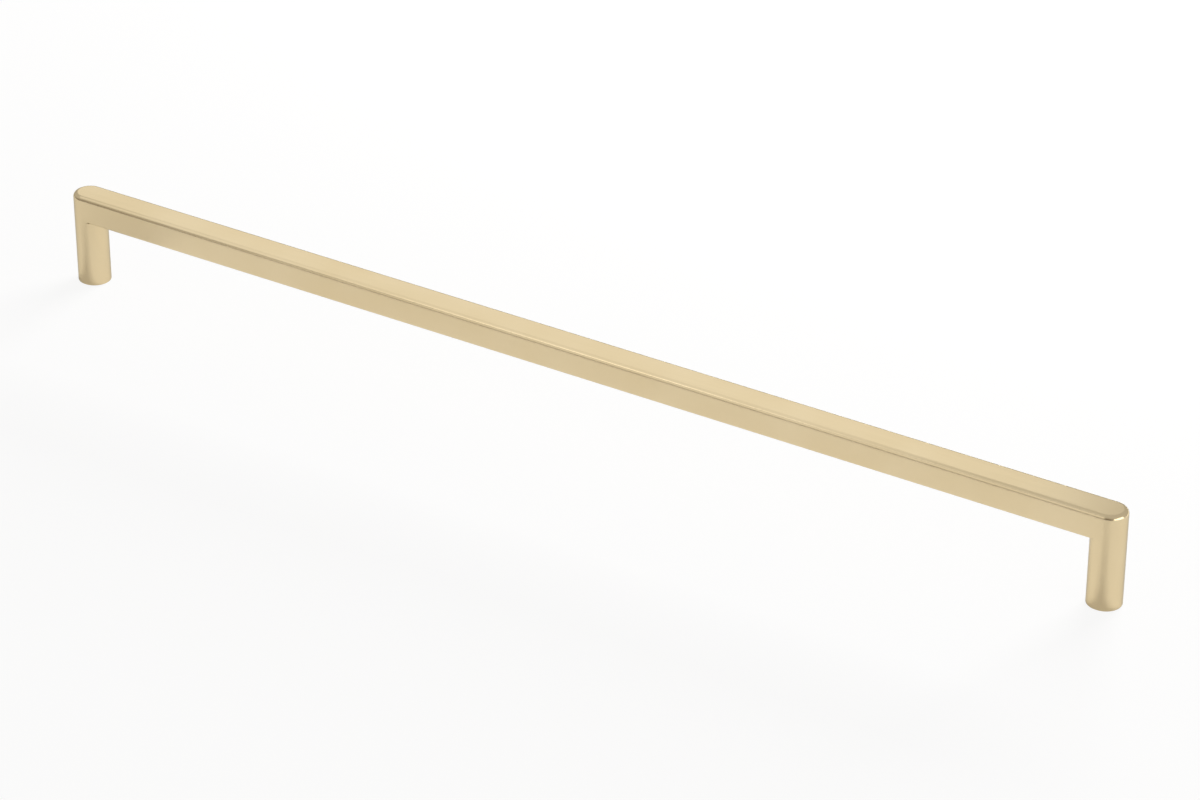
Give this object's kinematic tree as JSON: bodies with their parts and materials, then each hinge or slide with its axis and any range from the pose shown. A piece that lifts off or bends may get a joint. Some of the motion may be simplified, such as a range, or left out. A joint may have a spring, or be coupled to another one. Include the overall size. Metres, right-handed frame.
{
  "type": "furniture bar handle",
  "caption": "Slim straight bar handle with round-ended flat grip and a round leg under each end, screwed from behind to a door or drawer front to pull it open.",
  "frame": {"origin": "on the mounting plane, midway between the two screw holes", "axes": "+X along the bar, +Y across the bar, +Z away from the door or drawer front"},
  "size_m": [0.3624, 0.01, 0.0305],
  "materials": {
    "satin_brass": "fine satin-brushed pale brass plating, lengthwise on the bar"
  },
  "bodies": {
    "root": {"handle": "satin_brass"}
  },
  "joints": []
}
